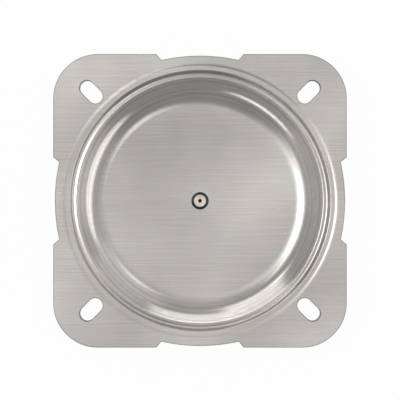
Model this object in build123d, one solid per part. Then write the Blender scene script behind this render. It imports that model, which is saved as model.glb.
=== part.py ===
from build123d import *
import math
import os

# Stool seat swivel: two dished square plates turn on a ring of caged balls, held together by a spun pin.
# Millimetres, +Z up along the swivel axis, z = 0 on the lower mounting face.

# Plate outline
plate_size = 178.0  # across the straight sides
sheet = 2.5  # plate thickness
ear_radius = 27.0  # outer corners of the four ears
bow_inset = 1.0  # middle of a bowed edge, in from the straight side
bow_end_inset = 3.6  # ends of a bowed edge, in from the straight side
bow_half_width = 23.5  # middle of a side to the end of its bow
relief_half_width = 26.4  # middle of a side to where the relief cut meets the straight side
relief_round = 0.8  # rounding of the relief cut's corners
edge_round = 0.4  # rolled edge that the punch leaves on the mounting side

# Mounting slots, along the diagonals
slot_width = 9.0  # clears an M8 bolt
slot_length = 16.0  # end to end
slot_margin = 1.14  # dish crease to a slot's inner end

# Dish section from the flange inwards: the bend into each run, its slope and its length between corners
flange_width = 3.8  # flat left between the dish crease and the middle of a side
dish_depth = 12.0  # mounting face to the dish floor
lead_radius = 10.0
lead_angle = 9.0  # gentle lead off the flange
lead_length = 1.5
ring_radius = 3.0
ring_angle = 1.0  # nearly level ring inside the lead
ring_length = 2.8
step_radius = 0.8
step_angle = 58.0  # steep step down from the ring
step_length = 3.1
gutter_radius = 0.8
gutter_angle = 8.0  # gutter at the foot of the step
gutter_length = 0.9
ledge_radius = 1.0
ledge_angle = 10.0  # ledge that rises again from the gutter to the crest
ledge_length = 1.9
crest_radius = 1.2
wall_angle = 42.0  # main wall of the dish, as long as the depth asks
cove_radius = 18.5  # main wall into the floor
tight_radius = 0.4  # least bend on the bearing side of the sheet

# Ball bearing between the two floors
ball_diameter = 6.35
ball_count = 30
ball_inset = 7.3  # edge of the flat floor to the ring of ball centres
track_opening = 1.07  # track radius as a multiple of the ball's
track_depth = 0.7  # coined into each floor
ball_clearance = 0.1  # ball to the bottom of each track
pocket_clearance = 0.15  # ball to its pocket, all round
cage_width = 11.0
cage_thickness = 2.8
cage_round = 0.5

# Centre pin, bush and washer
pin_diameter = 10.0
tenon_diameter = 8.0  # reduced end that is spun over the top plate
tenon_clearance = 0.02  # tenon in the top plate, all round
spun_diameter = 10.6
spun_height = 2.4
spun_face_diameter = 7.4
spun_ring_diameter = 4.8  # tool mark on the spun face
spun_ring_depth = 0.3
dimple_diameter = 2.4  # centre drilling
dimple_depth = 0.9
pin_head_diameter = 20.0
pin_head_thickness = 3.0
pin_head_bevel = 0.8
pin_clearance = 0.05  # running fit in the bush, all round
washer_clearance = 0.2  # washer over the pin, all round
axial_clearance = 0.1  # pin head to the washer
bush_wall = 2.0
bush_flange_width = 3.5
bush_flange_thickness = 1.2
washer_thickness = 1.5

half_size = plate_size / 2
crease_radius = half_size - bow_inset - flange_width
slot_centre_radius = crease_radius + slot_margin + slot_length / 2
blank_radius = plate_size * 0.75
ball_radius = ball_diameter / 2
floor_gap = ball_diameter + 2 * ball_clearance - 2 * track_depth
overall_height = 2 * (dish_depth + sheet) + floor_gap
middle_height = overall_height / 2
lower_floor = dish_depth + sheet
upper_floor = lower_floor + floor_gap


slopes = [lead_angle, ring_angle, step_angle, gutter_angle, -ledge_angle, wall_angle]
turns = [after - before for before, after in zip([0] + slopes, slopes + [0])]
bend_radii = [lead_radius, ring_radius, step_radius, gutter_radius, ledge_radius, crest_radius, cove_radius]
run_lengths = [lead_length, ring_length, step_length, gutter_length, ledge_length]

# The main wall takes up whatever depth the other runs leave.
formed_depth = sum(length * math.sin(math.radians(slope)) for length, slope in zip(run_lengths, slopes))
run_lengths.append((dish_depth - formed_depth) / math.sin(math.radians(wall_angle)))


# One side of the sheet from the rim to the axis; offset 0 is the mounting side, offset sheet the other side.
# A bend towards a steeper slope is tighter on the other side, a bend towards a gentler one is wider.
def sheet_side(offset):
    path = [Line((blank_radius, offset), (crease_radius, offset))]
    shifted = [radius - math.copysign(offset, turn) for radius, turn in zip(bend_radii, turns)]
    radii = [max(radius, tight_radius) for radius in shifted]
    half_turns = [math.tan(math.radians(turn) / 2) for turn in turns]
    taken = [offset * half + radius * abs(half) for half, radius in zip(half_turns, radii)]
    for index, turn in enumerate(turns):
        path.append(JernArc(path[-1] @ 1, path[-1] % 1, radii[index], -turn))
        if index < len(run_lengths):
            straight = run_lengths[index] - taken[index] - taken[index + 1]
            start = path[-1] @ 1
            path.append(Line(start, start + (path[-1] % 1) * straight))
    return path + [Line(path[-1] @ 1, (0, dish_depth + offset))]


floor_radius = (sheet_side(0)[-1] @ 0).X
ball_circle = floor_radius - ball_inset


def plate_outline():
    bow = half_size - bow_inset
    bow_end = half_size - bow_end_inset
    outside = half_size + bow_end_inset
    edge = ThreePointArc((-bow_half_width, bow_end), (0, bow), (bow_half_width, bow_end))
    rest = Polyline(
        (bow_half_width, bow_end),
        (relief_half_width, half_size),
        (relief_half_width, outside),
        (-relief_half_width, outside),
        (-relief_half_width, half_size),
        (-bow_half_width, bow_end),
    )
    relief = make_face(edge + rest)
    outline = RectangleRounded(plate_size, plate_size, ear_radius)
    for side in range(4):
        outline -= Rot(0, 0, 90 * side) * relief
    corners = outline.vertices().filter_by(lambda v: min(abs(v.X), abs(v.Y)) < relief_half_width + 0.1)
    return fillet(corners, relief_round)


# A plate as it lies at the bottom: mounting face down on z = 0, dish rising to the bearing.
def plate(hole_diameter):
    mount_side = sheet_side(0)
    bearing_side = sheet_side(sheet)
    rim = Line(mount_side[0] @ 0, bearing_side[0] @ 0)
    axis = Line(mount_side[-1] @ 1, bearing_side[-1] @ 1)
    section = make_face(Plane.XZ * Curve([rim, axis] + mount_side + bearing_side))
    body = revolve(section, Axis.Z)
    body &= extrude(plate_outline(), lower_floor + 1)
    slot_places = PolarLocations(slot_centre_radius, 4, 45)
    body -= extrude(Sketch() + slot_places * SlotOverall(slot_length, slot_width), sheet)
    rims = body.edges().filter_by_position(Axis.Z, -0.001, 0.001)
    body = fillet([e for e in rims if e.length < plate_size], edge_round)
    body -= Cylinder(hole_diameter / 2, 4 * lower_floor)
    track = Torus(ball_circle, ball_radius * track_opening)
    return body - Pos(0, 0, lower_floor - track_depth + ball_radius * track_opening) * track


def ball_cage():
    ring = Cylinder(ball_circle + cage_width / 2, cage_thickness)
    ring -= Cylinder(ball_circle - cage_width / 2, cage_thickness)
    ring = fillet(ring.edges().filter_by(GeomType.CIRCLE), cage_round)
    pocket = Cylinder(ball_radius + pocket_clearance, cage_thickness)
    ring -= PolarLocations(ball_circle, ball_count) * pocket
    return Pos(0, 0, middle_height) * ring


def turned(points):
    return revolve(make_face(Plane.XZ * Polyline(*points, close=True)), Axis.Z)


def centre_pin():
    seat = dish_depth - bush_flange_thickness - washer_thickness - axial_clearance
    foot = seat - pin_head_thickness
    top_face = upper_floor + sheet
    crown = top_face + spun_height
    head = turned(
        [
            (0, foot + dimple_depth),
            (dimple_diameter / 2, foot),
            (pin_head_diameter / 2 - pin_head_bevel, foot),
            (pin_head_diameter / 2, foot + pin_head_bevel),
            (pin_head_diameter / 2, seat),
            (pin_diameter / 2, seat),
            (pin_diameter / 2, upper_floor),
            (tenon_diameter / 2, upper_floor),
            (tenon_diameter / 2, top_face),
            (0, top_face),
        ]
    )
    side = (spun_diameter / 2, top_face + spun_height / 4)
    start = (spun_face_diameter / 2, crown)
    roll = ThreePointArc(side, ((side[0] * 2 + start[0]) / 3 + 0.2, (side[1] + start[1] * 2) / 3), start)
    rest = Polyline(
        start,
        (spun_ring_diameter / 2 + spun_ring_depth, crown),
        (spun_ring_diameter / 2, crown - spun_ring_depth),
        (dimple_diameter / 2, crown - spun_ring_depth),
        (0, crown - spun_ring_depth - dimple_depth),
        (0, top_face),
        (spun_diameter / 2, top_face),
        side,
    )
    return head + revolve(make_face(Plane.XZ * Curve([roll, rest])), Axis.Z)


bush_outside = pin_diameter + 2 * pin_clearance + 2 * bush_wall


def pivot_bush():
    inside = pin_diameter / 2 + pin_clearance
    flange = bush_outside / 2 + bush_flange_width
    return turned(
        [
            (inside, dish_depth - bush_flange_thickness),
            (flange, dish_depth - bush_flange_thickness),
            (flange, dish_depth),
            (bush_outside / 2, dish_depth),
            (bush_outside / 2, lower_floor),
            (inside, lower_floor),
        ]
    )


def thrust_washer():
    top = dish_depth - bush_flange_thickness
    ring = Cylinder(pin_head_diameter / 2, washer_thickness)
    ring -= Cylinder(pin_diameter / 2 + washer_clearance, washer_thickness)
    return Pos(0, 0, top - washer_thickness / 2) * ring


nodes = {
    "top_plate": Pos(0, 0, overall_height) * Rot(180, 0, 0) * plate(tenon_diameter + 2 * tenon_clearance),
    "bottom_plate": plate(bush_outside),
    "ball_cage": ball_cage(),
    "centre_pin": centre_pin(),
    "pivot_bush": pivot_bush(),
    "thrust_washer": thrust_washer(),
}
for index, place in enumerate(PolarLocations(ball_circle, ball_count), start=1):
    nodes[f"ball_{index:02d}"] = Pos(0, 0, middle_height) * place * Sphere(ball_radius)

os.makedirs("parts", exist_ok=True)
for name, shape in nodes.items():
    export_step(shape, f"parts/{name}.step")
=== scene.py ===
import bpy
import math
import numpy as np
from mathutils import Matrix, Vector


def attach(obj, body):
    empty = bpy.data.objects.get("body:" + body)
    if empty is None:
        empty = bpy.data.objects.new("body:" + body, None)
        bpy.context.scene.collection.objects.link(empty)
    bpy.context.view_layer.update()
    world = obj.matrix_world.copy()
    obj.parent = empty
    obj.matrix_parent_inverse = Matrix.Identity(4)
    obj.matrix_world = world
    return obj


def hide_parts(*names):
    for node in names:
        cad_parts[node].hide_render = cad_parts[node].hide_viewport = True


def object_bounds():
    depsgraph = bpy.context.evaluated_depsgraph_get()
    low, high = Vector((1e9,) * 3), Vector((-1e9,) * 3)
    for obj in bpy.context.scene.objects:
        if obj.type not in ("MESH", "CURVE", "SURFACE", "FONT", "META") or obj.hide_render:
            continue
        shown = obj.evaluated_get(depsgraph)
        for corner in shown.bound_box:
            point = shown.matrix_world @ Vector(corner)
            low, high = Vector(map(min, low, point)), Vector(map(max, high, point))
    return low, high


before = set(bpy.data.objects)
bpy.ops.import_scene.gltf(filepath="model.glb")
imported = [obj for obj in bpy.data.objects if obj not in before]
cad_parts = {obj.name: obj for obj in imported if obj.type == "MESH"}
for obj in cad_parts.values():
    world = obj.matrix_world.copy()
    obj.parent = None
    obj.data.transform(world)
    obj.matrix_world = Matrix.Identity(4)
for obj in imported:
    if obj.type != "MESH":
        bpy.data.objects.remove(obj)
cadLow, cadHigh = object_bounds()
mm = 0.001
weldReach = 0.0005 * mm  # points nearer than this are one point
print("frame loaded:", len(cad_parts), "nodes")

# Camera: straight down through a long lens, far enough off that both rows of slots line up
shot = dict(distance=6.0, frameWidth=242.6 * mm, sensor=36.0, across=0.0, along=0.0005, farthest=50.0)


def placeCamera(shot, topHeight):
    lens = bpy.data.cameras.new("camera")
    lens.sensor_width = shot["sensor"]
    lens.lens = shot["sensor"] * shot["distance"] / shot["frameWidth"]
    lens.clip_end = shot["farthest"]
    camera = bpy.data.objects.new("camera", lens)
    camera.location = (shot["across"], shot["along"], topHeight + shot["distance"])
    bpy.context.scene.collection.objects.link(camera)
    bpy.context.scene.camera = camera


placeCamera(shot, cadHigh.z)
print("camera placed")


# Turns a list of patches into one closed mesh. A patch is a grid of points, a grid of unit normals and a
# mark, 1 on a sheared edge. Points that coincide are welded, squares that collapse are dropped, and every
# corner keeps its own patch's normal and mark.
def weldPatches(name, patches):
    points, normals, squares, marks, used = [], [], [], [], 0
    for grid, facing, mark in patches:
        rows, columns = grid.shape[:2]
        index = used + np.arange(rows * columns).reshape(rows, columns)
        square = np.stack([index[:-1, :-1], index[1:, :-1], index[1:, 1:], index[:-1, 1:]], -1).reshape(-1, 4)
        flat, flatFacing = grid.reshape(-1, 3), facing.reshape(-1, 3)
        corner = flat[square - used]
        across = np.cross(corner[:, 2] - corner[:, 0], corner[:, 3] - corner[:, 1])
        if (across * flatFacing[square - used].mean(1)).sum() < 0:
            square = square[:, ::-1]
        points.append(flat)
        normals.append(flatFacing)
        squares.append(square)
        marks.append(np.full(square.shape, mark))
        used += len(flat)
    points, normals, squares = np.concatenate(points), np.concatenate(normals), np.concatenate(squares)
    marks = np.concatenate(marks)
    key = np.round(points / weldReach).astype(np.int64)
    kept, first, welded = np.unique(key, axis=0, return_index=True, return_inverse=True)
    welded = welded.reshape(-1)
    corners, loopNormals = welded[squares], normals[squares]
    same = corners == np.roll(corners, -1, 1)  # True where a side of the square has no length
    whole = same.sum(1) == 0
    threes = same.sum(1) == 1
    keep = ~same
    loopVerts = np.concatenate([corners[whole].reshape(-1), corners[threes][keep[threes]]])
    loopDirs = np.concatenate([loopNormals[whole].reshape(-1, 3), loopNormals[threes][keep[threes]]])
    loopMarks = np.concatenate([marks[whole].reshape(-1), marks[threes][keep[threes]]])
    sizes = np.concatenate([np.full(whole.sum(), 4), np.full(threes.sum(), 3)])
    starts = np.concatenate([[0], np.cumsum(sizes)[:-1]])
    mesh = bpy.data.meshes.new(name)
    mesh.vertices.add(len(kept))
    mesh.vertices.foreach_set("co", points[first].astype(np.float32).reshape(-1))
    mesh.loops.add(len(loopVerts))
    mesh.loops.foreach_set("vertex_index", loopVerts.astype(np.int32))
    mesh.polygons.add(len(sizes))
    mesh.polygons.foreach_set("loop_start", starts.astype(np.int32))
    mesh.polygons.foreach_set("use_smooth", np.ones(len(sizes), bool))
    mesh.update(calc_edges=True)
    loopDirs = loopDirs / np.linalg.norm(loopDirs, axis=1, keepdims=True)
    mesh.normals_split_custom_set(loopDirs.tolist())
    sheared = mesh.attributes.new("shearedEdge", "FLOAT", "CORNER")
    sheared.data.foreach_set("value", loopMarks.astype(np.float32))
    mesh.update()
    piece = bpy.data.objects.new(name, mesh)
    bpy.context.scene.collection.objects.link(piece)
    print(name, "has", len(kept), "points and", int((sizes - 2).sum()), "triangles")
    return piece


# A section of (radius, height) carried round the axis: x = radius cos azimuth, y = radius sin azimuth.
def carryRound(section, sectionNormals, azimuth):
    radius, height = section[:, 0, None], section[:, 1, None]
    outward, upward = sectionNormals[:, 0, None], sectionNormals[:, 1, None]
    level = np.ones_like(azimuth)[None, :]
    grid = np.stack([radius * np.cos(azimuth), radius * np.sin(azimuth), height * level], -1)
    facing = np.stack([outward * np.cos(azimuth), outward * np.sin(azimuth), upward * level], -1)
    return grid, facing, 0.0


# An arc: centre plus radius times (cos angle, sin angle), the angle run evenly between two angles in degrees.
def arcPoints(centre, radius, start, stop, steps):
    angle = np.radians(np.linspace(start, stop, steps + 1))
    ray = np.stack([np.cos(angle), np.sin(angle)], -1)
    return np.asarray(centre) + radius * ray, ray


# Plates, in millimetres and degrees
plateForm = dict(
    size=178.0, sheet=2.5, earRadius=27.0, bowInset=1.0, bowEndInset=3.6, bowHalfWidth=23.5,
    reliefHalfWidth=26.4, reliefRound=0.8, edgeRound=0.4, burrRound=0.15,
    slotWidth=9.0, slotLength=16.0, slotMargin=1.14, flangeWidth=3.8, dishDepth=12.0, tightRound=0.4,
    # slope, run and the bend before it, from the flange inwards
    leadAngle=9.0, leadLength=1.5, leadRadius=10.0,
    ringAngle=1.0, ringLength=2.8, ringRadius=3.0,
    stepAngle=58.0, stepLength=3.1, stepRadius=0.8,
    gutterAngle=8.0, gutterLength=0.9, gutterRadius=0.8,
    ledgeAngle=-10.0, ledgeLength=1.9, ledgeRadius=1.0,
    wallAngle=42.0, wallRadius=1.2, floorRadius=18.5,
    ballDiameter=6.35, ballInset=7.3, trackOpening=1.07, trackDepth=0.7,
    tenonHole=4.02, bushHole=7.05, holeRound=0.12,  # hole radii, and the rounding of their lips
    # steps of the mesh: degrees to a step in a bend, then counts
    bendStep=3.5, leastBend=3, lipSteps=4, floorSteps=3, trackSteps=14, earSteps=18, sideSteps=8,
    reliefSteps=5, bowSteps=10, edgeSteps=6, flangeSteps=16, slotSteps=4,
)
halfSize = plateForm["size"] / 2
creaseRadius = halfSize - plateForm["bowInset"] - plateForm["flangeWidth"]
slotCentre = creaseRadius + plateForm["slotMargin"] + plateForm["slotLength"] / 2


# The pressed sheet's section, from the crease inwards. A heading starts level; each bend turns it and adds
# an arc, each run adds a line along it. Offset 0 follows the mounting side, offset sheet the bearing side,
# where a hump's bend is tighter and a hollow's wider by the offset. The main wall takes up the depth that
# the other runs leave.
def dishSection(form, offset):
    parts = ("lead", "ring", "step", "gutter", "ledge", "wall")
    slope = np.radians([0.0] + [form[part + "Angle"] for part in parts] + [0.0])
    length = np.array([form[part + "Length"] for part in parts[:-1]])
    wallLength = (form["dishDepth"] - (length * np.sin(slope[1:-2])).sum()) / math.sin(slope[-2])
    length = np.append(length, wallLength)
    way = np.sign(np.diff(slope))
    half = np.tan(np.abs(np.diff(slope)) / 2)
    radius = np.array([form[part + "Radius"] for part in parts + ("floor",)]) - way * offset
    radius = np.maximum(radius, form["tightRound"])
    tangent = radius * half
    straight = length - offset * (way * half)[:-1] - offset * (way * half)[1:] - tangent[:-1] - tangent[1:]
    spot, line, tilt = np.array([creaseRadius, offset]), [], []
    for k in range(len(way)):
        bend = abs(math.degrees(slope[k + 1] - slope[k]))
        steps = max(form["leastBend"], math.ceil(bend / form["bendStep"]))
        angle = np.linspace(slope[k], slope[k + 1], steps + 1)
        run = way[k] * radius[k] * (np.sin(angle) - np.sin(angle[0]))
        sink = way[k] * radius[k] * (np.cos(angle[0]) - np.cos(angle))
        line.append(spot + np.stack([-run, sink], -1))
        tilt.append(angle)
        spot = line[-1][-1]
        if k < len(straight):
            spot = spot + straight[k] * np.array([-math.cos(slope[k + 1]), math.sin(slope[k + 1])])
    line, tilt = np.concatenate(line), np.concatenate(tilt)
    side = 1.0 if offset else -1.0
    return line, side * np.stack([np.sin(tilt), np.cos(tilt)], -1)


# The whole round part of a plate as one section: mounting side inwards, the rounded lips and wall of the
# centre hole, then the bearing side outwards over the ball track, which is an arc sunk into the floor.
def roundSection(form, holeRadius):
    mount, mountNormals = dishSection(form, 0.0)
    bearing, bearingNormals = dishSection(form, form["sheet"])
    floorRadius = mount[-1, 0]
    low, high, lip = form["dishDepth"], form["dishDepth"] + form["sheet"], form["holeRound"]
    turn = np.radians(np.linspace(0, 90, form["lipSteps"] + 1))
    lowLip = np.stack([holeRadius + lip * (1 - np.sin(turn)), low + lip * (1 - np.cos(turn))], -1)
    highLip = np.stack([holeRadius + lip * (1 - np.cos(turn)), high - lip * (1 - np.sin(turn))], -1)
    lowNormals = np.stack([-np.sin(turn), -np.cos(turn)], -1)
    highNormals = np.stack([-np.cos(turn), np.sin(turn)], -1)
    ballCircle = floorRadius - form["ballInset"]
    trackRadius = form["ballDiameter"] / 2 * form["trackOpening"]
    halfTurn = math.degrees(math.acos(1 - form["trackDepth"] / trackRadius))
    trackHeart = (ballCircle, high - form["trackDepth"] + trackRadius)
    track, ray = arcPoints(trackHeart, trackRadius, 270 - halfTurn, 270 + halfTurn, form["trackSteps"])
    flat, steps = np.array([[0.0, 1.0]]), form["floorSteps"]
    under = np.linspace(mount[-1], lowLip[0], steps + 1)[1:-1]
    over = np.linspace(lowLip[0, 0], track[0, 0], steps + 1)[1:]
    parts = [
        (mount, mountNormals),
        (under, -np.repeat(flat, steps - 1, 0)),
        (lowLip, lowNormals), (highLip, highNormals),
        (np.stack([over, np.full(steps, high)], -1), np.repeat(flat, steps, 0)),
        (track, -ray),
        (np.stack([[track[-1, 0]], [high]], -1), flat),
        (bearing[::-1], bearingNormals[::-1]),
    ]
    return np.concatenate([p for p, n in parts]), np.concatenate([n for p, n in parts])


# One quarter of the outline, from the middle of one ear to the middle of the next: ear arc, straight side,
# relief cut with its two small rounds, then half of the bowed edge, mirrored for the other half.
def quarterOutline(form):
    half, earHeart = halfSize, halfSize - form["earRadius"]
    ear, earRay = arcPoints((earHeart, earHeart), form["earRadius"], 45, 90, form["earSteps"])
    cornerPoint = np.array([form["reliefHalfWidth"], half])
    bowEnd = np.array([form["bowHalfWidth"], half - form["bowEndInset"]])
    cut = (bowEnd - cornerPoint) / np.linalg.norm(bowEnd - cornerPoint)
    cutNormal = np.array([cut[1], -cut[0]])
    cutAngle = math.degrees(math.atan2(cutNormal[1], cutNormal[0]))
    small = form["reliefRound"]
    reach = small * math.tan(math.radians(cutAngle - 90) / 2)
    outerHeart = (cornerPoint[0] + reach, half - small)
    outer, outerRay = arcPoints(outerHeart, small, 90, cutAngle, form["reliefSteps"])
    rise = form["bowEndInset"] - form["bowInset"]
    bowRadius = (form["bowHalfWidth"] ** 2 + rise**2) / (2 * rise)
    bowHeart = np.array([0.0, half - form["bowInset"] - bowRadius])
    base = cornerPoint + small * cutNormal - bowHeart
    along = base @ cut
    travel = -along - math.sqrt(along**2 - base @ base + (bowRadius + small) ** 2)
    if travel < 0:
        travel = -along + math.sqrt(along**2 - base @ base + (bowRadius + small) ** 2)
    innerHeart = cornerPoint + small * cutNormal + cut * travel
    towards = innerHeart - bowHeart
    bowAngle = math.degrees(math.atan2(towards[1], towards[0]))
    inner, innerRay = arcPoints(innerHeart, small, cutAngle + 180, bowAngle + 180, form["reliefSteps"])
    bow, bowRay = arcPoints(bowHeart, bowRadius, bowAngle, 90, form["bowSteps"])
    side = np.linspace(ear[-1], outer[0], form["sideSteps"] + 1)[1:-1]
    sideRay = np.repeat(np.array([[0.0, 1.0]]), len(side), 0)
    line = np.concatenate([ear, side, outer, inner, bow[1:]])
    ray = np.concatenate([earRay, sideRay, outerRay, -innerRay, bowRay[1:]])
    mirror = np.array([-1.0, 1.0])
    return np.concatenate([line, line[-2:0:-1] * mirror]), np.concatenate([ray, ray[-2:0:-1] * mirror])


# The quarter turned through the four right angles, closed on its first point.
def fullOutline(form):
    line, ray = quarterOutline(form)
    quarterTurn = np.array([[0.0, -1.0], [1.0, 0.0]])
    turned = [np.linalg.matrix_power(quarterTurn, k) for k in range(4)]
    lines = np.concatenate([line @ t.T for t in turned])
    rays = np.concatenate([ray @ t.T for t in turned])
    return np.concatenate([lines, lines[:1]]), np.concatenate([rays, rays[:1]])


# A slot's edge as seen from its middle: the ray at each angle meets a straight side or a round end. The foot
# is the nearest point of the slot's centre line, and the edge is the foot plus half the width along the
# normal there.
def slotFeet(form, direction):
    rim = form["slotWidth"] / 2 + form["edgeRound"]
    run = (form["slotLength"] - form["slotWidth"]) / 2
    cosine, sine = direction[:, 0], direction[:, 1]
    straight = rim / np.maximum(np.abs(sine), 1e-9)
    onSide = straight * np.abs(cosine) <= run
    ended = run * np.abs(cosine) + np.sqrt(np.maximum(rim**2 - (run * sine) ** 2, 0))
    footX = np.where(onSide, straight * cosine, np.sign(cosine) * run)
    endNormal = (direction * ended[:, None] - np.stack([np.sign(cosine) * run, 0 * sine], -1)) / rim
    sideNormal = np.stack([0 * sine, np.sign(sine)], -1)
    return np.stack([footX, 0 * footX], -1), np.where(onSide[:, None], sideNormal, endNormal)


# A sheared edge's rows: a quarter circle rolled by the punch on the mounting side, a smaller one on the
# other. Inset is how far a row stands inside the path, level its height through the sheet.
def edgeRows(form):
    roll, burr, sheet = form["edgeRound"], form["burrRound"], form["sheet"]
    turn = np.radians(np.linspace(0, 90, form["edgeSteps"] + 1))
    inset = np.concatenate([roll * (1 - np.sin(turn)), burr * (1 - np.cos(turn))])
    level = np.concatenate([roll * (1 - np.cos(turn)), sheet - burr * (1 - np.sin(turn))])
    outward = np.concatenate([np.sin(turn), np.cos(turn)])
    upward = np.concatenate([-np.cos(turn), np.sin(turn)])
    return inset, level, outward, upward


# A level patch: a flat grid lifted to one height, with every normal straight up or down.
def flatPatch(grid, level, facing):
    height = np.full(grid.shape[:2] + (1,), level)
    normal = np.zeros(grid.shape[:2] + (3,))
    normal[..., 2] = facing
    return np.concatenate([grid, height], -1), normal, 0.0


# A sheared edge along a path: each row is the path less its inset along the normal, at the row's own height.
def edgePatch(form, path, ray, hole):
    inset, level, outward, upward = edgeRows(form)
    way = -1.0 if hole else 1.0
    ground = path[None] - way * inset[:, None, None] * ray[None]
    height = np.broadcast_to(level[:, None, None], ground.shape[:2] + (1,))
    facing = np.concatenate(
        [way * outward[:, None, None] * ray[None], np.broadcast_to(upward[:, None, None], height.shape)], -1
    )
    return np.concatenate([ground, height], -1), facing, 1.0


# A plate lying mounting face down: the round part is a section carried round, the flange is ruled between
# the crease and the outline, each ear is ruled between its own border and its slot.
def platePatches(form, holeRadius):
    outline, ray = fullOutline(form)
    azimuth = np.unwrap(np.arctan2(outline[:, 1], outline[:, 0]))
    crease = creaseRadius * np.stack([np.cos(azimuth), np.sin(azimuth)], -1)
    section, sectionNormals = roundSection(form, holeRadius)
    patches = [carryRound(section, sectionNormals, azimuth), edgePatch(form, outline, ray, False)]
    quarter = (len(outline) - 1) // 4
    earSpan = form["earSteps"]
    share = np.linspace(0, 1, form["flangeSteps"] + 1)[:, None, None]
    slotShare = np.linspace(0, 1, form["slotSteps"] + 1)[:, None, None]
    inset, level = edgeRows(form)[:2]
    for row, facing in ((0, -1.0), (-1, 1.0)):
        rim = outline - inset[row] * ray
        ruled = crease[None] + share * (rim - crease)[None]
        for corner in range(4):
            start = corner * quarter
            flange = ruled[:, start + earSpan:start + quarter - earSpan + 1]
            patches.append(flatPatch(flange, level[row], facing))
            span = (np.arange(-earSpan, earSpan + 1) + start) % (4 * quarter)
            border = np.concatenate([
                ruled[0, span], ruled[1:-1, span[-1]], ruled[-1, span[::-1]],
                ruled[-2:0:-1, span[0]], ruled[:1, span[0]],
            ])
            diagonal = np.radians(45 + 90 * corner)
            axes = np.array([[np.cos(diagonal), np.sin(diagonal)], [-np.sin(diagonal), np.cos(diagonal)]])
            local = border @ axes.T - [slotCentre, 0]
            foot, normal = slotFeet(form, local / np.linalg.norm(local, axis=1, keepdims=True))
            path = (foot + normal * form["slotWidth"] / 2 + [slotCentre, 0]) @ axes
            normal = normal @ axes
            inner = path + inset[row] * normal
            patches.append(flatPatch(border[None] + slotShare * (inner - border)[None], level[row], facing))
            if row == 0:
                patches.append(edgePatch(form, path, normal, True))
    return patches


# Turns a plate over: half a turn about X and up to the other mounting face.
def turnOver(patches, height):
    flip = np.array([1.0, -1.0, -1.0])
    return [(grid * flip + [0, 0, height], facing * flip, mark) for grid, facing, mark in patches]


def inMetres(patches):
    return [(grid * mm, facing, mark) for grid, facing, mark in patches]


overallHeight = (cadHigh.z - cadLow.z) / mm
topPatches = turnOver(platePatches(plateForm, plateForm["tenonHole"]), overallHeight)
topPlate = weldPatches("top_plate_pressed", inMetres(topPatches))
bottomPlate = weldPatches("bottom_plate_pressed", inMetres(platePatches(plateForm, plateForm["bushHole"])))
for piece, node, body in ((topPlate, "top_plate", "seat"), (bottomPlate, "bottom_plate", "base")):
    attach(piece, body)
    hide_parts(node)
print("plates pressed")

# Pin: spun head on top, plain shank, round head below, all in millimetres of radius and height
pinForm = dict(
    foot=6.2, seat=9.2, upperFloor=19.65, topFace=22.15,  # heights
    headRadius=10.0, headBevel=0.8, shankRadius=5.0, tenonRadius=4.0,
    spunRadius=5.3, spunHeight=2.4, faceRadius=3.7, rollStart=0.25,  # share of the height below the roll
    ringRadius=2.4, ringDepth=0.3, dimpleRadius=1.2, dimpleDepth=0.9,
    soften=0.12, cornerSteps=6, rollSteps=8, aroundSteps=96,
)


# Rounds each corner of a line of (radius, height) points: a corner is swapped for a quadratic curve that
# starts and ends a set reach before and after it, or a little under half a side where that is shorter.
# Normals are square to the line's own direction.
def softenedLine(points, reach, steps):
    underHalf = 0.45
    before, corner, after = points[:-2], points[1:-1], points[2:]
    back, ahead = before - corner, after - corner
    backLength = np.linalg.norm(back, axis=1, keepdims=True)
    aheadLength = np.linalg.norm(ahead, axis=1, keepdims=True)
    start = corner + back / backLength * np.minimum(reach, backLength * underHalf)
    stop = corner + ahead / aheadLength * np.minimum(reach, aheadLength * underHalf)
    t = np.linspace(0, 1, steps + 1)[None, :, None]
    curve = (1 - t) ** 2 * start[:, None] + 2 * t * (1 - t) * corner[:, None] + t**2 * stop[:, None]
    slope = 2 * (1 - t) * (corner - start)[:, None] + 2 * t * (stop - corner)[:, None]
    line = np.concatenate([points[:1], curve.reshape(-1, 2), points[-1:]])
    way = np.concatenate([points[1:2] - points[:1], slope.reshape(-1, 2), points[-1:] - points[-2:-1]])
    way /= np.linalg.norm(way, axis=1, keepdims=True)
    return line, np.stack([way[:, 1], -way[:, 0]], -1)


# The pin: a line of (radius, height) from the lower dimple out and up to the upper one, softened and carried
# round the axis. The spun roll is a quarter of an ellipse from the side to the face.
def turnPin(form):
    foot, seat, top = form["foot"], form["seat"], form["topFace"]
    head, bevel, dimple = form["headRadius"], form["headBevel"], form["dimpleRadius"]
    crown = top + form["spunHeight"]
    sunk = crown - form["ringDepth"]
    angle = np.radians(np.linspace(0, 90, form["rollSteps"] + 1))
    rollFoot = form["spunHeight"] * form["rollStart"]
    roll = np.stack([
        form["faceRadius"] + (form["spunRadius"] - form["faceRadius"]) * np.cos(angle),
        top + rollFoot + (form["spunHeight"] - rollFoot) * np.sin(angle),
    ], -1)
    points = np.concatenate([
        [(0.0, foot + form["dimpleDepth"]), (dimple, foot), (head - bevel, foot), (head, foot + bevel),
         (head, seat), (form["shankRadius"], seat), (form["shankRadius"], form["upperFloor"]),
         (form["tenonRadius"], form["upperFloor"]), (form["tenonRadius"], top), (form["spunRadius"], top)],
        roll,
        [(form["ringRadius"] + form["ringDepth"], crown), (form["ringRadius"], sunk), (dimple, sunk),
         (0.0, sunk - form["dimpleDepth"])],
    ])
    line, normals = softenedLine(points, form["soften"], form["cornerSteps"])
    around = np.linspace(0, 2 * np.pi, form["aroundSteps"] + 1)
    return weldPatches("centre_pin_turned", inMetres([carryRound(line, normals, around)]))


pin = turnPin(pinForm)
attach(pin, "seat")
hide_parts("centre_pin")
print("pin turned")


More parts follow.
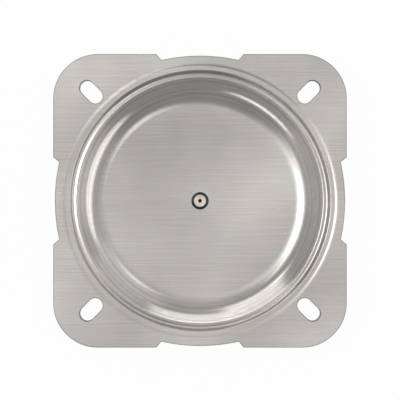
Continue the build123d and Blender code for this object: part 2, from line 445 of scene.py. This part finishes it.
# Node helpers
def newGroup(name, inputs, outputs):
    group = bpy.data.node_groups.new(name, "ShaderNodeTree")
    for label, kind, value in inputs:
        socket = group.interface.new_socket(label, in_out="INPUT", socket_type=kind)
        if value is not None:
            socket.default_value = value
    for label, kind in outputs:
        group.interface.new_socket(label, in_out="OUTPUT", socket_type=kind)
    return group, group.nodes.new("NodeGroupInput"), group.nodes.new("NodeGroupOutput")


def addNode(tree, kind, **settings):
    node = tree.nodes.new(kind)
    for label, value in settings.items():
        if label in node.bl_rna.properties:
            setattr(node, label, value)
        else:
            node.inputs[label].default_value = value
    return node


def addMath(tree, operation, first, second=None):
    node = tree.nodes.new("ShaderNodeMath")
    node.operation = operation
    for place, value in ((0, first), (1, second)):
        if value is None:
            continue
        if isinstance(value, (int, float)):
            node.inputs[place].default_value = value
        else:
            tree.links.new(value, node.inputs[place])
    return node.outputs[0]


def mapRange(tree, value, fromLow, fromHigh, toLow, toHigh, smooth=False):
    node = tree.nodes.new("ShaderNodeMapRange")
    node.interpolation_type = "SMOOTHSTEP" if smooth else "LINEAR"
    tree.links.new(value, node.inputs["Value"])
    limits = {"From Min": fromLow, "From Max": fromHigh, "To Min": toLow, "To Max": toHigh}
    for label, amount in limits.items():
        node.inputs[label].default_value = amount
    return node.outputs["Result"]


# Mixes two colours, each a tuple or a socket; a Mix node's colour sockets are 6, 7 and, coming out, 2.
def mixColour(tree, factor, first, second):
    node = tree.nodes.new("ShaderNodeMix")
    node.data_type = "RGBA"
    tree.links.new(factor, node.inputs[0])
    for place, value in ((6, first), (7, second)):
        if isinstance(value, tuple):
            node.inputs[place].default_value = value + (1.0,)
        else:
            tree.links.new(value, node.inputs[place])
    return node.outputs[2]


noiseLow, noiseHigh = 0.3, 0.7  # most of a noise's values lie between these


# Scale of each layer along, across and through the sheet: 1 gives the length or pitch asked for
brushLayers = {"Lines": (1.0, 1.0, 0.25), "Long Lines": (0.3, 1.3, 0.25)}


# Brushing: noise drawn out along X, one layer of short scores and one of long ones. Length and pitch are in
# millimetres.
def makeBrushing(layers):
    group, inside, outside = newGroup(
        "brushing",
        [("Vector", "NodeSocketVector", None), ("Length", "NodeSocketFloat", 6.0),
         ("Pitch", "NodeSocketFloat", 0.6)],
        [("Lines", "NodeSocketFloat"), ("Long Lines", "NodeSocketFloat")],
    )
    perLength = addMath(group, "DIVIDE", 1 / mm, inside.outputs["Length"])
    perPitch = addMath(group, "DIVIDE", 1 / mm, inside.outputs["Pitch"])
    for output, (along, across, through) in layers.items():
        scale = group.nodes.new("ShaderNodeCombineXYZ")
        group.links.new(addMath(group, "MULTIPLY", perLength, along), scale.inputs["X"])
        group.links.new(addMath(group, "MULTIPLY", perPitch, across), scale.inputs["Y"])
        group.links.new(addMath(group, "MULTIPLY", perPitch, through), scale.inputs["Z"])
        product = addNode(group, "ShaderNodeVectorMath", operation="MULTIPLY")
        group.links.new(inside.outputs["Vector"], product.inputs[0])
        group.links.new(scale.outputs[0], product.inputs[1])
        noise = addNode(group, "ShaderNodeTexNoise", Scale=1.0, Detail=1.5, Roughness=0.5)
        group.links.new(product.outputs[0], noise.inputs["Vector"])
        group.links.new(noise.outputs["Fac"], outside.inputs[output])
    return group


waveLayers = {"Height": (1.0, 0.5), "Cloud": (0.7, 3.0)}  # waves to a span, and detail


# Waves: broad soft noise, the unevenness that pressing leaves in a sheet, with the span in millimetres.
def makeWaves(layers):
    group, inside, outside = newGroup(
        "sheetWaves", [("Vector", "NodeSocketVector", None), ("Span", "NodeSocketFloat", 45.0)],
        [("Height", "NodeSocketFloat"), ("Cloud", "NodeSocketFloat")],
    )
    for output, (waves, detail) in layers.items():
        noise = addNode(group, "ShaderNodeTexNoise", Detail=detail, Roughness=0.45)
        group.links.new(inside.outputs["Vector"], noise.inputs["Vector"])
        group.links.new(addMath(group, "DIVIDE", waves / mm, inside.outputs["Span"]), noise.inputs["Scale"])
        group.links.new(noise.outputs["Fac"], outside.inputs[output])
    return group


speckShare = 0.2  # share of the cells that keep their speck


# Specks: the cores of sparse round cells, kept only in cells whose own random value is high.
def makeSpecks(share):
    group, inside, outside = newGroup(
        "specks",
        [("Vector", "NodeSocketVector", None), ("Spacing", "NodeSocketFloat", 5.0),
         ("Width", "NodeSocketFloat", 0.08)],
        [("Mask", "NodeSocketFloat")],
    )
    scale = addMath(group, "DIVIDE", 1 / mm, inside.outputs["Spacing"])
    cells = addNode(group, "ShaderNodeTexVoronoi", Randomness=1.0)
    group.links.new(inside.outputs["Vector"], cells.inputs["Vector"])
    group.links.new(scale, cells.inputs["Scale"])
    core = addMath(group, "LESS_THAN", cells.outputs["Distance"], inside.outputs["Width"])
    pick = group.nodes.new("ShaderNodeSeparateColor")
    group.links.new(cells.outputs["Color"], pick.inputs[0])
    chosen = addMath(group, "GREATER_THAN", pick.outputs[0], 1 - share)
    group.links.new(addMath(group, "MULTIPLY", core, chosen), outside.inputs["Mask"])
    return group


# Rings: noise of the distance from the axis alone, the marks of a cutting tool, all in millimetres.
def makeRings():
    group, inside, outside = newGroup(
        "turningRings", [("Vector", "NodeSocketVector", None), ("Pitch", "NodeSocketFloat", 0.2)],
        [("Rings", "NodeSocketFloat"), ("Radius", "NodeSocketFloat")],
    )
    parts = group.nodes.new("ShaderNodeSeparateXYZ")
    group.links.new(inside.outputs["Vector"], parts.inputs[0])
    squares = [addMath(group, "MULTIPLY", parts.outputs[k], parts.outputs[k]) for k in (0, 1)]
    radius = addMath(group, "MULTIPLY", addMath(group, "SQRT", addMath(group, "ADD", *squares)), 1 / mm)
    noise = addNode(group, "ShaderNodeTexNoise", noise_dimensions="1D", Scale=1.0, Detail=2.0)
    group.links.new(addMath(group, "DIVIDE", radius, inside.outputs["Pitch"]), noise.inputs["W"])
    group.links.new(noise.outputs["Fac"], outside.inputs["Rings"])
    group.links.new(radius, outside.inputs["Radius"])
    return group


brushing, sheetWaves = makeBrushing(brushLayers), makeWaves(waveLayers)
specks, turningRings = makeSpecks(speckShare), makeRings()


def startMaterial(name):
    material = bpy.data.materials.new(name)
    material.use_nodes = True
    tree = material.node_tree
    shader = tree.nodes["Principled BSDF"]
    place = tree.nodes.new("ShaderNodeTexCoord").outputs["Object"]
    return material, tree, shader, place


def useGroup(tree, group, place, **values):
    node = tree.nodes.new("ShaderNodeGroup")
    node.node_tree = group
    tree.links.new(place, node.inputs["Vector"])
    for label, value in values.items():
        node.inputs[label].default_value = value
    return node


def addBump(tree, shader, height, strength, distance, before=None):
    node = addNode(tree, "ShaderNodeBump", Strength=strength, Distance=distance)
    tree.links.new(height, node.inputs["Height"])
    if before is not None:
        tree.links.new(before.outputs["Normal"], node.inputs["Normal"])
    tree.links.new(node.outputs["Normal"], shader.inputs["Normal"])
    return node


# Finishes, with spans, pitches and radii in millimetres; a pair is a range, or what low and high noise give
plateSteel = dict(
    base=(0.685, 0.66, 0.625), scored=(0.59, 0.567, 0.533), speck=(0.92, 0.91, 0.89), roughness=0.2,
    scoreLength=38.0, scorePitch=0.28, longShare=0.3, scoreRange=(0.36, 0.64),
    scoreRoughness=(0.05, -0.03), scoreHeight=0.00008 * mm, speckSpacing=6.0, speckWidth=0.05,
    waveSpan=60.0, waveHeight=0.08 * mm, waveShift=(-0.708, -1.134, 0.0),
    cloudShadeAndTone=(0.83, 1.18), cloudRoughness=(-0.02, 0.03), sagRadius=60.0, sagDepth=0.8 * mm,
    drawnFrom=(62.0, 65.0), drawnTo=(76.0, 76.5), drawnPitch=1.5, drawnTint=(0.12, -0.10),
    paintedEdgeShade=0.45, edgeRoughness=0.25,
)


# Brushed stainless. The scores mix two greys, and a cloud and the drawing rings of the wall scale that
# colour; the cloud's lighter and darker patches, placed by the wave shift, are painted light and shade as
# well as mottling of the sheet. Sheared edges are rougher, and darker as painted shade along the outline, and
# a few specks are left by the press. The bumps are the floor's sag, which is a smooth step of the radius,
# then the sheet's waves, then the scores.
def makePlateSteel(name, finish):
    material, tree, shader, place = startMaterial(name)
    lines = useGroup(tree, brushing, place, Length=finish["scoreLength"], Pitch=finish["scorePitch"])
    moved = addNode(tree, "ShaderNodeMapping", Location=finish["waveShift"])
    tree.links.new(place, moved.inputs["Vector"])
    waves = useGroup(tree, sheetWaves, moved.outputs[0], Span=finish["waveSpan"])
    spots = useGroup(tree, specks, place, Spacing=finish["speckSpacing"], Width=finish["speckWidth"])
    middle = useGroup(tree, turningRings, place, Pitch=finish["drawnPitch"])
    radius, cloud = middle.outputs["Radius"], waves.outputs["Cloud"]
    edge = addNode(tree, "ShaderNodeAttribute", attribute_name="shearedEdge").outputs["Fac"]
    both = addMath(tree, "ADD", addMath(tree, "MULTIPLY", lines.outputs["Lines"], 1 - finish["longShare"]),
                   addMath(tree, "MULTIPLY", lines.outputs["Long Lines"], finish["longShare"]))
    shade = mapRange(tree, both, *finish["scoreRange"], 0.0, 1.0)
    colour = mixColour(tree, shade, finish["scored"], finish["base"])
    # the cloud's lighter and darker patches are painted light and shade as well as mottling of the sheet
    tintAndShade = mapRange(tree, cloud, noiseLow, noiseHigh, *finish["cloudShadeAndTone"])
    inside = mapRange(tree, radius, *finish["drawnFrom"], 0.0, 1.0, True)
    within = mapRange(tree, radius, *finish["drawnTo"], 1.0, 0.0, True)
    drawn = addMath(tree, "MULTIPLY", addMath(tree, "MULTIPLY", inside, within),
                    mapRange(tree, middle.outputs["Rings"], noiseLow, noiseHigh, *finish["drawnTint"]))
    tintAndShade = addMath(tree, "SUBTRACT", tintAndShade, drawn)
    # sheared edges are darkened in colour: painted shade along the outline
    tintAndShade = addMath(tree, "MULTIPLY", tintAndShade, mapRange(tree, edge, 0.0, 1.0, 1.0, finish["paintedEdgeShade"]))
    shadedTintedColour = addNode(tree, "ShaderNodeVectorMath", operation="SCALE")
    tree.links.new(colour, shadedTintedColour.inputs[0])
    tree.links.new(tintAndShade, shadedTintedColour.inputs["Scale"])
    flecked = mixColour(tree, spots.outputs["Mask"], shadedTintedColour.outputs[0], finish["speck"])
    tree.links.new(flecked, shader.inputs["Base Color"])
    smooth, dull = (finish["roughness"] + change for change in finish["cloudRoughness"])
    rough = addMath(tree, "ADD", mapRange(tree, both, noiseLow, noiseHigh, *finish["scoreRoughness"]),
                    mapRange(tree, cloud, noiseLow, noiseHigh, smooth, dull))
    rough = addMath(tree, "ADD", rough, addMath(tree, "MULTIPLY", edge, finish["edgeRoughness"]))
    tree.links.new(rough, shader.inputs["Roughness"])
    shader.inputs["Metallic"].default_value = 1.0
    sag = mapRange(tree, radius, 0.0, finish["sagRadius"], 0.0, 1.0, True)
    sunk = addBump(tree, shader, sag, 1.0, finish["sagDepth"])
    broad = addBump(tree, shader, waves.outputs["Height"], 1.0, finish["waveHeight"], sunk)
    addBump(tree, shader, both, 1.0, finish["scoreHeight"], broad)
    return material


pinSteel = dict(
    base=(0.93, 0.87, 0.72), ground=(0.78, 0.68, 0.45), darkReflection=(0.05, 0.06, 0.10), pitShade=(0.03, 0.03, 0.04),
    faceEdge=(3.4, 3.8), grooveRadius=2.35, grooveWidth=0.35, grooveShade=0.7, pitEdge=(1.0, 1.3),
    ringPitch=0.18, ringRange=(0.35, 0.7), ringWear=0.6, ringHeight=0.006 * mm,
    cloudSpan=6.0, roughness=(0.16, 0.3), darkReflectionFrom=pinForm["topFace"] * mm, darkReflectionFade=0.2 * mm,
)


# Passivated pin: yellow steel with tool rings, painted shade in the groove and in the dimple, each a step of
# the radius. Above the plate, the rolled rim round the face is painted dark navy, a painted reflection.
def makePinSteel(finish):
    material, tree, shader, place = startMaterial("pin_passivated")
    rings = useGroup(tree, turningRings, place, Pitch=finish["ringPitch"])
    waves = useGroup(tree, sheetWaves, place, Span=finish["cloudSpan"])
    radius = rings.outputs["Radius"]
    face = mapRange(tree, radius, *finish["faceEdge"], 1.0, 0.0, True)
    # painted shade: the groove is darkened towards the ground gold
    away = addMath(tree, "ABSOLUTE", addMath(tree, "SUBTRACT", radius, finish["grooveRadius"]))
    groove = mapRange(tree, away, 0.0, finish["grooveWidth"], finish["grooveShade"], 0.0, True)
    turned = mapRange(tree, rings.outputs["Rings"], *finish["ringRange"], 0.0, finish["ringWear"])
    toned = mixColour(tree, addMath(tree, "MAXIMUM", groove, turned), finish["base"], finish["ground"])
    # painted shade: the dimple is coloured near black
    pitShade = mapRange(tree, radius, *finish["pitEdge"], 1.0, 0.0, True)
    toned = mixColour(tree, pitShade, toned, finish["pitShade"])
    parts = tree.nodes.new("ShaderNodeSeparateXYZ")
    tree.links.new(place, parts.inputs[0])
    # above the plate the rim takes a painted dark reflection, below it the pin keeps its yellow
    fade = finish["darkReflectionFrom"] - finish["darkReflectionFade"]
    under = mapRange(tree, parts.outputs["Z"], fade, finish["darkReflectionFrom"], 1.0, 0.0)
    yellow = addMath(tree, "MAXIMUM", face, under)
    tree.links.new(mixColour(tree, yellow, finish["darkReflection"], toned), shader.inputs["Base Color"])
    rough = mapRange(tree, waves.outputs["Cloud"], noiseLow, noiseHigh, *finish["roughness"])
    tree.links.new(rough, shader.inputs["Roughness"])
    shader.inputs["Metallic"].default_value = 1.0
    addBump(tree, shader, rings.outputs["Rings"], 1.0, finish["ringHeight"])
    return material


ballSteel = dict(
    base=(0.78, 0.78, 0.80), smear=(0.62, 0.62, 0.63), filmSpan=3.0, filmRange=(0.4, 0.65),
    roughness=(0.06, 0.22),
)


# Polished balls: bright steel with a thin film of smeared grease.
def makeBallSteel(finish):
    material, tree, shader, place = startMaterial("ball_polished")
    waves = useGroup(tree, sheetWaves, place, Span=finish["filmSpan"])
    film = mapRange(tree, waves.outputs["Cloud"], *finish["filmRange"], 0.0, 1.0, True)
    tree.links.new(mixColour(tree, film, finish["base"], finish["smear"]), shader.inputs["Base Color"])
    tree.links.new(mapRange(tree, film, 0.0, 1.0, *finish["roughness"]), shader.inputs["Roughness"])
    shader.inputs["Metallic"].default_value = 1.0
    return material


cageNylon = dict(
    base=(0.74, 0.71, 0.62), deep=(0.66, 0.62, 0.52), roughness=(0.35, 0.5), flowSpan=9.0, skinSpan=0.5,
    skinStrength=0.6, skinHeight=0.01 * mm, scatter=0.2, scatterReach=(0.002, 0.0016, 0.001),
)


# Natural nylon: a faint cloud from the mould's flow over a fine eroded skin.
def makeCageNylon(finish):
    material, tree, shader, place = startMaterial("cage_nylon_moulded")
    flow = useGroup(tree, sheetWaves, place, Span=finish["flowSpan"])
    skin = useGroup(tree, sheetWaves, place, Span=finish["skinSpan"])
    cloud = mapRange(tree, flow.outputs["Cloud"], noiseLow, noiseHigh, 0.0, 1.0, True)
    tree.links.new(mixColour(tree, cloud, finish["deep"], finish["base"]), shader.inputs["Base Color"])
    rough = mapRange(tree, skin.outputs["Cloud"], noiseLow, noiseHigh, *finish["roughness"])
    tree.links.new(rough, shader.inputs["Roughness"])
    shader.inputs["Subsurface Weight"].default_value = finish["scatter"]
    shader.inputs["Subsurface Radius"].default_value = finish["scatterReach"]
    addBump(tree, shader, skin.outputs["Height"], finish["skinStrength"], finish["skinHeight"])
    return material


bushBronze = dict(
    base=(0.60, 0.40, 0.20), oiled=(0.36, 0.22, 0.10), pore=(0.10, 0.06, 0.03), roughness=(0.42, 0.2),
    oilSpan=4.0, oilRange=(0.38, 0.66), poreSpacing=0.45, poreWidth=0.3,
    poreStrength=0.5, poreDepth=0.02 * mm,
)


# Sintered bronze: open pores, and darker patches where oil has come to the surface.
def makeBushBronze(finish):
    material, tree, shader, place = startMaterial("bush_sintered")
    oil = useGroup(tree, sheetWaves, place, Span=finish["oilSpan"])
    pores = useGroup(tree, specks, place, Spacing=finish["poreSpacing"], Width=finish["poreWidth"])
    wet = mapRange(tree, oil.outputs["Cloud"], *finish["oilRange"], 0.0, 1.0, True)
    metal = mixColour(tree, wet, finish["base"], finish["oiled"])
    tree.links.new(mixColour(tree, pores.outputs["Mask"], metal, finish["pore"]), shader.inputs["Base Color"])
    tree.links.new(mapRange(tree, wet, 0.0, 1.0, *finish["roughness"]), shader.inputs["Roughness"])
    shader.inputs["Metallic"].default_value = 1.0
    sunk = addMath(tree, "MULTIPLY", pores.outputs["Mask"], -1.0)
    addBump(tree, shader, sunk, finish["poreStrength"], finish["poreDepth"])
    return material


washerSteel = dict(
    base=(0.58, 0.57, 0.55), groove=(0.42, 0.41, 0.40), roughness=(0.22, 0.42), filmSpan=5.0,
    ringPitch=0.25, ringStrength=0.7, ringHeight=0.008 * mm,
)


# Ground washer: rings from facing, with a cloudy film of oil.
def makeWasherSteel(finish):
    material, tree, shader, place = startMaterial("washer_ground")
    rings = useGroup(tree, turningRings, place, Pitch=finish["ringPitch"])
    waves = useGroup(tree, sheetWaves, place, Span=finish["filmSpan"])
    cut = mapRange(tree, rings.outputs["Rings"], noiseLow, noiseHigh, 0.0, 1.0)
    tree.links.new(mixColour(tree, cut, finish["groove"], finish["base"]), shader.inputs["Base Color"])
    rough = mapRange(tree, waves.outputs["Cloud"], noiseLow, noiseHigh, *finish["roughness"])
    tree.links.new(rough, shader.inputs["Roughness"])
    shader.inputs["Metallic"].default_value = 1.0
    addBump(tree, shader, rings.outputs["Rings"], finish["ringStrength"], finish["ringHeight"])
    return material


def dress(piece, material):
    if not piece.data.materials:
        piece.data.materials.append(material)
    for slot in piece.material_slots:
        slot.material = material


steel = makePlateSteel("plate_brushed", plateSteel)
dress(topPlate, steel)
dress(bottomPlate, steel)
dress(pin, makePinSteel(pinSteel))
finishes = {
    "ball": makeBallSteel(ballSteel), "ball_cage": makeCageNylon(cageNylon),
    "pivot_bush": makeBushBronze(bushBronze), "thrust_washer": makeWasherSteel(washerSteel),
}
for name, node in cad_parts.items():
    kind = name if name in finishes else name.split("_")[0]
    if kind in finishes:
        dress(node, finishes[kind])
print("finishes applied")

# Floor: white to the camera and to the metal, with the shadow left in, and clear when seen from below
floorLook = dict(halfWidth=9.0, drop=0.05 * mm, paint=(0.9, 0.9, 0.9), glow=0.97)


# The floor: x and y run over a square at one height, a hair under the part.
def layFloor(look):
    reach = np.linspace(-look["halfWidth"], look["halfWidth"], 2)
    across, along = np.meshgrid(reach, reach)
    points = np.stack([across, along, 0 * across + cadLow.z - look["drop"]], -1).reshape(-1, 3)
    mesh = bpy.data.meshes.new("floor")
    mesh.from_pydata(points.tolist(), [], [(0, 1, 3, 2)])
    floor = bpy.data.objects.new("floor", mesh)
    bpy.context.scene.collection.objects.link(floor)
    material = bpy.data.materials.new("floor_white")
    material.use_nodes = True
    tree = material.node_tree
    tree.nodes.clear()
    output = tree.nodes.new("ShaderNodeOutputMaterial")
    paint = addNode(tree, "ShaderNodeBsdfDiffuse", Color=look["paint"] + (1.0,))
    glow = addNode(tree, "ShaderNodeEmission", Strength=1.0)
    path = tree.nodes.new("ShaderNodeLightPath")
    seen = addMath(tree, "MAXIMUM", path.outputs["Is Camera Ray"], path.outputs["Is Glossy Ray"])
    seen = addMath(tree, "MAXIMUM", seen, path.outputs["Is Transmission Ray"])
    mixer = tree.nodes.new("ShaderNodeMixShader")
    tree.links.new(addMath(tree, "MULTIPLY", seen, look["glow"]), mixer.inputs[0])
    tree.links.new(paint.outputs[0], mixer.inputs[1])
    tree.links.new(glow.outputs[0], mixer.inputs[2])
    below = tree.nodes.new("ShaderNodeMixShader")
    tree.links.new(tree.nodes.new("ShaderNodeNewGeometry").outputs["Backfacing"], below.inputs[0])
    tree.links.new(mixer.outputs[0], below.inputs[1])
    tree.links.new(tree.nodes.new("ShaderNodeBsdfTransparent").outputs[0], below.inputs[2])
    tree.links.new(below.outputs[0], output.inputs["Surface"])
    mesh.materials.append(material)


layFloor(floorLook)

# Studio: softboxes by azimuth from the right, angle off the vertical and the angles they span, in degrees
softboxes = {
    "leftOverhead": dict(azimuth=169, tilt=23, wide=15, tall=20, glow=2.2, shape="ELLIPSE"),
    "leftHalo": dict(azimuth=169, tilt=19, wide=34, tall=34, glow=0.2, shape="ELLIPSE"),
    "leftWing": dict(azimuth=169, tilt=30, wide=43, tall=8, glow=1.4, shape="ELLIPSE"),
    "rightLow": dict(azimuth=346, tilt=65.5, wide=66, tall=29, glow=0.85, shape="ELLIPSE"),
    "rightFill": dict(azimuth=45, tilt=60, wide=44, tall=60, glow=0.2, shape="ELLIPSE"),
    "backLow": dict(azimuth=120, tilt=72, wide=32, tall=31, glow=0.8, shape="RECTANGLE"),
    "backSide": dict(azimuth=137, tilt=65, wide=13, tall=10, glow=0.75, shape="ELLIPSE"),
    "backWall": dict(azimuth=85, tilt=85.5, wide=40, tall=7, glow=1.3, shape="RECTANGLE"),
    "backRight": dict(azimuth=50, tilt=27, wide=13, tall=9, glow=0.9, shape="ELLIPSE"),
    "frontRight": dict(azimuth=308, tilt=14, wide=8, tall=18, glow=1.1, shape="ELLIPSE"),
    "frontStrip": dict(azimuth=235, tilt=69, wide=38, tall=4.5, glow=3.0, shape="ELLIPSE"),
}
lampDistance = 8.0
wattsPerGlow = 4.0  # to a square metre of lamp


def hangSoftbox(name, box):
    wide = 2 * lampDistance * math.tan(math.radians(box["wide"]) / 2)
    tall = 2 * lampDistance * math.tan(math.radians(box["tall"]) / 2)
    lamp = bpy.data.lights.new(name, "AREA")
    lamp.shape, lamp.size, lamp.size_y = box["shape"], wide, tall
    filled = math.pi / 4 if box["shape"] == "ELLIPSE" else 1.0
    lamp.energy = wattsPerGlow * wide * tall * filled * box["glow"]
    lampObject = bpy.data.objects.new(name, lamp)
    azimuth, tilt = math.radians(box["azimuth"]), math.radians(box["tilt"])
    towards = Vector((math.sin(tilt) * math.cos(azimuth), math.sin(tilt) * math.sin(azimuth), math.cos(tilt)))
    lampObject.location = Vector((0, 0, cadHigh.z)) + towards * lampDistance
    lampObject.rotation_euler = towards.to_track_quat("Z", "Y").to_euler()
    lampObject.visible_camera = False
    bpy.context.scene.collection.objects.link(lampObject)


for name, box in softboxes.items():
    hangSoftbox(name, box)

room = dict(walls=0.46, ceiling=0.66, front=0.33, ceilingEdge=40.0, frontDepth=0.09, frontSpread=0.7)


# The room: grey walls, a lighter ceiling straight above, and a darker side towards the front.
def paintRoom(room):
    world = bpy.data.worlds.new("studio")
    bpy.context.scene.world = world
    world.use_nodes = True
    tree = world.node_tree
    background = tree.nodes["Background"]
    direction = tree.nodes.new("ShaderNodeSeparateXYZ")
    tree.links.new(tree.nodes.new("ShaderNodeTexCoord").outputs["Generated"], direction.inputs[0])
    edge = math.cos(math.radians(room["ceilingEdge"]))
    level = mapRange(tree, direction.outputs["Z"], edge, 1.0, room["walls"], room["ceiling"])
    aside = addMath(tree, "MULTIPLY", addMath(tree, "ABSOLUTE", direction.outputs["X"]), room["frontSpread"])
    ahead = addMath(tree, "ADD", direction.outputs["Y"], aside)
    frontal = mapRange(tree, ahead, 0.0, -room["frontDepth"], 0.0, 1.0, True)
    dark = addMath(tree, "MULTIPLY", frontal, addMath(tree, "SUBTRACT", level, room["front"]))
    tree.links.new(addMath(tree, "SUBTRACT", level, dark), background.inputs["Strength"])
    background.inputs["Color"].default_value = (1.0, 1.0, 1.0, 1.0)


paintRoom(room)
bpy.context.scene.view_settings.view_transform = "Standard"
print("studio lit")
